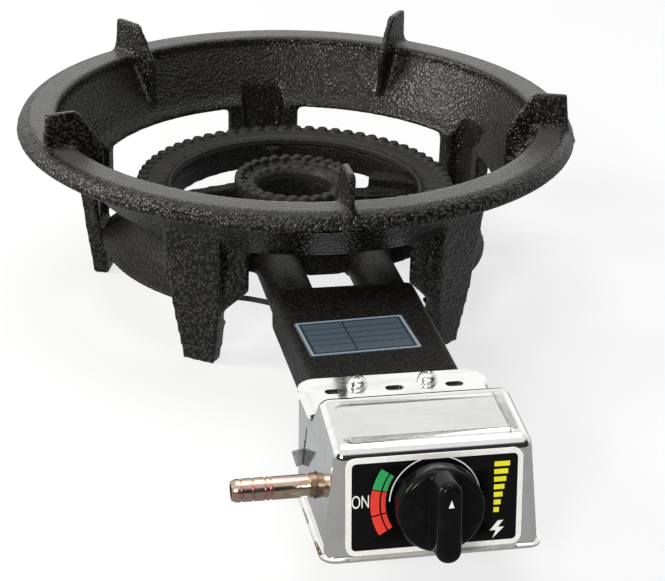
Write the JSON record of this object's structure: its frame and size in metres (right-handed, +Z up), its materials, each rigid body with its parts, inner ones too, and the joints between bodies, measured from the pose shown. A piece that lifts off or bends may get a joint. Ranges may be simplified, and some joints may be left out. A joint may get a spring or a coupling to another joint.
{
  "type": "outdoor gas cooker",
  "caption": "Low cast iron gas cooker: ringed pan support on legs, double ring burner, twin mixing tubes and a plated control box with a push-and-turn knob.",
  "frame": {"origin": "on the ground, under the middle of the whole outline", "axes": "+Z up, the knob faces -Y, the gas inlet points to -X"},
  "size_m": [0.3222, 0.5356, 0.1293],
  "materials": {
    "cast_iron_coated": "black hammered coating",
    "cast_iron_burner": "black heat paint on rough casting",
    "cast_iron_ring": "black heat paint",
    "plated_sheet": "bright plated pressed steel",
    "zinc_sheet": "zinc plated",
    "plated_screw": "bright plated",
    "faceplate_print": "printed gloss film on sheet",
    "rating_foil": "bare blue-grey foil",
    "knob_plastic": "moulded, gloss",
    "spindle_steel": "turned",
    "spring_steel": "drawn wire",
    "brass_turned": "turned",
    "brass_cast": "cast",
    "cam_plastic": "moulded",
    "yellow_zinc_pipe": "yellow passivated zinc",
    "gasket_rubber": "moulded",
    "igniter_plastic": "moulded",
    "lead_silicone": "extruded silicone",
    "electrode_ceramic": "glazed"
  },
  "bodies": {
    "root": {"pan_support": "cast_iron_coated", "burner_body": "cast_iron_burner", "outer_flame_ring": "cast_iron_ring", "inner_flame_ring": "cast_iron_ring", "control_box": "plated_sheet", "box_base_plate": "zinc_sheet", "base_plate_screws": "plated_screw", "faceplate": "faceplate_print", "rating_plate": "rating_foil", "box_screws": "plated_screw", "box_washers": "plated_screw", "valve_body": "brass_cast", "valve_cover": "zinc_sheet", "valve_cover_screws": "plated_screw", "gas_inlet_pipe": "yellow_zinc_pipe", "inlet_gasket": "gasket_rubber", "gas_manifold": "brass_cast", "manifold_bolts": "plated_screw", "injector_left": "brass_turned", "injector_right": "brass_turned", "igniter_case": "igniter_plastic", "igniter_screws": "plated_screw", "hammer_spring": "spring_steel", "ignition_lead": "lead_silicone", "lead_clips": "zinc_sheet", "electrode_rod": "spindle_steel", "electrode_sleeve": "electrode_ceramic", "electrode_bracket": "zinc_sheet", "electrode_screw": "plated_screw"},
    "valve_unit": {"valve_plug": "brass_turned", "striker_cam": "cam_plastic", "spindle_spring": "spring_steel"},
    "knob_unit": {"knob": "knob_plastic", "valve_spindle": "spindle_steel", "spindle_pin": "spindle_steel"},
    "plunger_unit": {"igniter_plunger": "spindle_steel"},
    "air_shutter_left_unit": {"air_shutter_left": "zinc_sheet"},
    "air_shutter_right_unit": {"air_shutter_right": "zinc_sheet"}
  },
  "joints": [
    {"name": "valve_turn", "type": "hinge", "parent": "root", "child": "valve_unit", "pos_m": [0, -0.21714, 0.04912], "axis": [0, -0.9903, 0.1392], "range_deg": [0, 120]},
    {"name": "knob_push", "type": "slide", "parent": "valve_unit", "child": "knob_unit", "axis": [0, 0.9903, -0.1392], "range_m": [0, 0.003], "stiffness_N_per_m": 1200, "springref_m": -0.002, "deforming": ["spindle_spring"]},
    {"name": "igniter_strike", "type": "slide", "parent": "root", "child": "plunger_unit", "axis": [1, 0, 0], "range_m": [0, 0.00401], "deforming": ["hammer_spring"]},
    {"name": "left_shutter_turn", "type": "hinge", "parent": "root", "child": "air_shutter_left_unit", "pos_m": [-0.025, -0.16225, 0.0505], "axis": [0, 1, 0], "range_deg": [0, 20]},
    {"name": "right_shutter_turn", "type": "hinge", "parent": "root", "child": "air_shutter_right_unit", "pos_m": [0.025, -0.16225, 0.0505], "axis": [0, -1, 0], "range_deg": [0, 20]}
  ],
  "couplings": [
    {"joint": "igniter_strike", "follows": "valve_turn", "m_per_rad": 0.0019099}
  ]
}
